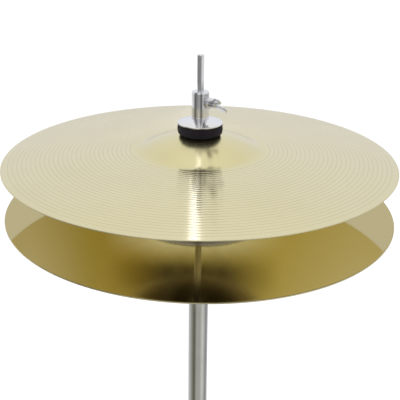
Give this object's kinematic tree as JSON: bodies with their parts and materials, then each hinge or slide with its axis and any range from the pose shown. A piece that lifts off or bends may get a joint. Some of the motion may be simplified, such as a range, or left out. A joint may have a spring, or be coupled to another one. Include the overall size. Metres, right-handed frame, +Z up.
{
  "type": "hi-hat",
  "caption": "Pedal-operated pair of facing cymbals on a folding tripod stand, with a pull rod, clutch, tilter and chain drive.",
  "frame": {"origin": "on the floor, at the underside of the base frame, on the axis of the pull rod", "axes": "+Z up along the pull rod; -Y towards the player and the heel plate; +X to the player's right"},
  "size_m": [0.5704, 0.6644, 0.9452],
  "materials": {
    "cast_frame": "bead-blasted die casting",
    "black_cast": "black powder coat on zinc casting",
    "rubber": "moulded black rubber",
    "nylon": "black nylon",
    "chrome": "polished chrome plate",
    "rod_chrome": "polished chrome plate with fine wear",
    "zinc_steel": "zinc-plated steel",
    "spring_steel": "oiled spring wire",
    "felt": "pressed black wool felt",
    "cymbal_top": "lathed bronze, brilliant finish, pale gold",
    "cymbal_bottom": "lathed bronze, satin inside, warm gold"
  },
  "bodies": {
    "stand": {"base_frame": "cast_frame", "base_pad": "rubber", "lower_tube": "chrome", "brace_ring": "cast_frame", "brace_ring_rivets": "zinc_steel", "height_clamp": "cast_frame", "height_bush": "nylon", "height_clamp_nut": "zinc_steel", "heel_plate": "cast_frame", "heel_pad": "rubber", "heel_hinge_pin": "zinc_steel", "stabiliser_rods": "chrome"},
    "spur_left": {"spur_left": "zinc_steel"},
    "spur_right": {"spur_right": "zinc_steel"},
    "tension_dial": {"tension_dial": "rod_chrome"},
    "height_wing_bolt": {"height_wing_bolt": "rod_chrome"},
    "pedal": {"footboard": "cast_frame", "toe_bracket": "zinc_steel", "toe_pin": "zinc_steel", "toe_bolts": "zinc_steel"},
    "pull_rod": {"lower_rod": "zinc_steel", "upper_rod": "rod_chrome", "rod_coupling": "rod_chrome", "spring_seat": "zinc_steel", "return_spring": "spring_steel", "rod_connector": "zinc_steel", "connector_pin": "zinc_steel"},
    "chain": {"chain_plates": "zinc_steel", "chain_rollers": "zinc_steel", "chain_rivets": "zinc_steel"},
    "leg_collar": {"leg_collar": "cast_frame", "leg_collar_bush": "nylon"},
    "leg_wing_bolt": {"leg_wing_bolt": "rod_chrome"},
    "leg_rear": {"leg_rear": "chrome", "leg_rivets_rear": "zinc_steel", "foot_rear": "rubber"},
    "leg_left": {"leg_left": "chrome", "leg_rivets_left": "zinc_steel", "foot_left": "rubber"},
    "leg_right": {"leg_right": "chrome", "leg_rivets_right": "zinc_steel", "foot_right": "rubber"},
    "brace_rear": {"brace_rear": "chrome"},
    "brace_left": {"brace_left": "chrome"},
    "brace_right": {"brace_right": "chrome"},
    "upper_tube": {"upper_tube": "chrome", "tilter_base": "black_cast", "tilter_pin": "zinc_steel"},
    "tilter_screw": {"tilter_screw": "rod_chrome"},
    "seat": {"seat_cup": "black_cast", "seat_felt": "felt"},
    "bottom_cymbal": {"bottom_cymbal": "cymbal_bottom"},
    "clutch": {"clutch_sleeve": "rod_chrome", "clutch_washer": "rod_chrome", "clutch_felt_upper": "felt", "clutch_felt_lower": "felt", "clutch_nut": "rod_chrome"},
    "clutch_wing_screw": {"clutch_wing_screw": "rod_chrome"},
    "top_cymbal": {"top_cymbal": "cymbal_top"}
  },
  "joints": [
    {"name": "pedal_hinge", "type": "hinge", "parent": "stand", "child": "pedal", "pos_m": [0, -0.28768, 0.02], "axis": [-1, 0, 0], "range_deg": [0, 8.82], "stiffness_Nm_per_rad": 60, "springref_deg": -8.59},
    {"name": "pull_rod_slide", "type": "slide", "parent": "stand", "child": "pull_rod", "axis": [0, 0, -1], "range_m": [0, 0.0446], "deforming": ["return_spring"]},
    {"name": "chain_swing", "type": "hinge", "parent": "pull_rod", "child": "chain", "pos_m": [0, 0, 0.127], "axis": [1, 0, 0], "range_deg": [0, 6.17]},
    {"name": "tension_dial_turn", "type": "hinge", "parent": "stand", "child": "tension_dial", "pos_m": [0, 0, 0.146], "axis": [0, 0, 1], "continuous": true},
    {"name": "spur_left_travel", "type": "slide", "parent": "stand", "child": "spur_left", "axis": [0, 0, 1], "range_m": [0, 0.01]},
    {"name": "spur_right_travel", "type": "slide", "parent": "stand", "child": "spur_right", "axis": [0, 0, 1], "range_m": [0, 0.01]},
    {"name": "height_wing_bolt_turn", "type": "hinge", "parent": "stand", "child": "height_wing_bolt", "pos_m": [0.029, -0.014, 0.508], "axis": [0, -1, 0], "continuous": true},
    {"name": "upper_tube_height", "type": "slide", "parent": "stand", "child": "upper_tube", "axis": [0, 0, 1], "range_m": [-0.12, 0]},
    {"name": "tilter_screw_travel", "type": "slide", "parent": "upper_tube", "child": "tilter_screw", "axis": [0, 0, 1], "range_m": [-0.001, 0]},
    {"name": "seat_tilt", "type": "hinge", "parent": "upper_tube", "child": "seat", "pos_m": [0.009, -0.01073, 0.761], "axis": [0.766, 0.6428, 0], "range_deg": [-1.6, 0]},
    {"name": "bottom_cymbal_spin", "type": "hinge", "parent": "seat", "child": "bottom_cymbal", "pos_m": [0.00028, -0.00034, 0.79021], "axis": [0.0096, -0.0115, 0.9999], "continuous": true},
    {"name": "clutch_height", "type": "slide", "parent": "pull_rod", "child": "clutch", "axis": [0, 0, 1], "range_m": [0, 0.025]},
    {"name": "clutch_wing_screw_turn", "type": "hinge", "parent": "clutch", "child": "clutch_wing_screw", "pos_m": [0.01576, -0.01231, 0.9031], "axis": [0.788, -0.6157, 0], "continuous": true},
    {"name": "top_cymbal_spin", "type": "hinge", "parent": "clutch", "child": "top_cymbal", "pos_m": [0, 0, 0.8696], "axis": [0, 0, 1], "continuous": true},
    {"name": "leg_collar_slide", "type": "slide", "parent": "stand", "child": "leg_collar", "axis": [0, 0, 1], "range_m": [0, 0.03938]},
    {"name": "leg_wing_bolt_turn", "type": "hinge", "parent": "leg_collar", "child": "leg_wing_bolt", "pos_m": [0, -0.032, 0.33589], "axis": [0, -1, 0], "continuous": true},
    {"name": "leg_rear_hinge", "type": "hinge", "parent": "leg_collar", "child": "leg_rear", "pos_m": [0, 0.03, 0.33589], "axis": [-1, 0, 0], "range_deg": [0, 30.01]},
    {"name": "brace_rear_hinge", "type": "hinge", "parent": "stand", "child": "brace_rear", "pos_m": [0, 0.03, 0.198], "axis": [-1, 0, 0], "range_deg": [-30.01, 0]},
    {"name": "leg_left_hinge", "type": "hinge", "parent": "leg_collar", "child": "leg_left", "pos_m": [-0.02598, -0.015, 0.33589], "axis": [0.5, -0.866, 0], "range_deg": [0, 30.01]},
    {"name": "brace_left_hinge", "type": "hinge", "parent": "stand", "child": "brace_left", "pos_m": [-0.02598, -0.015, 0.198], "axis": [0.5, -0.866, 0], "range_deg": [-30.01, 0]},
    {"name": "leg_right_hinge", "type": "hinge", "parent": "leg_collar", "child": "leg_right", "pos_m": [0.02598, -0.015, 0.33589], "axis": [0.5, 0.866, 0], "range_deg": [0, 30.01]},
    {"name": "brace_right_hinge", "type": "hinge", "parent": "stand", "child": "brace_right", "pos_m": [0.02598, -0.015, 0.198], "axis": [0.5, 0.866, 0], "range_deg": [-30.01, 0]}
  ],
  "couplings": [
    {"joint": "pull_rod_slide", "follows": "pedal_hinge", "m_per_rad": 0.28826},
    {"joint": "chain_swing", "follows": "pedal_hinge", "ratio": 0.6963},
    {"joint": "seat_tilt", "follows": "tilter_screw_travel", "rad_per_m": 27.778},
    {"joint": "leg_rear_hinge", "follows": "leg_collar_slide", "rad_per_m": 13.297},
    {"joint": "brace_rear_hinge", "follows": "leg_collar_slide", "rad_per_m": -13.297},
    {"joint": "leg_left_hinge", "follows": "leg_collar_slide", "rad_per_m": 13.297},
    {"joint": "brace_left_hinge", "follows": "leg_collar_slide", "rad_per_m": -13.297},
    {"joint": "leg_right_hinge", "follows": "leg_collar_slide", "rad_per_m": 13.297},
    {"joint": "brace_right_hinge", "follows": "leg_collar_slide", "rad_per_m": -13.297}
  ]
}
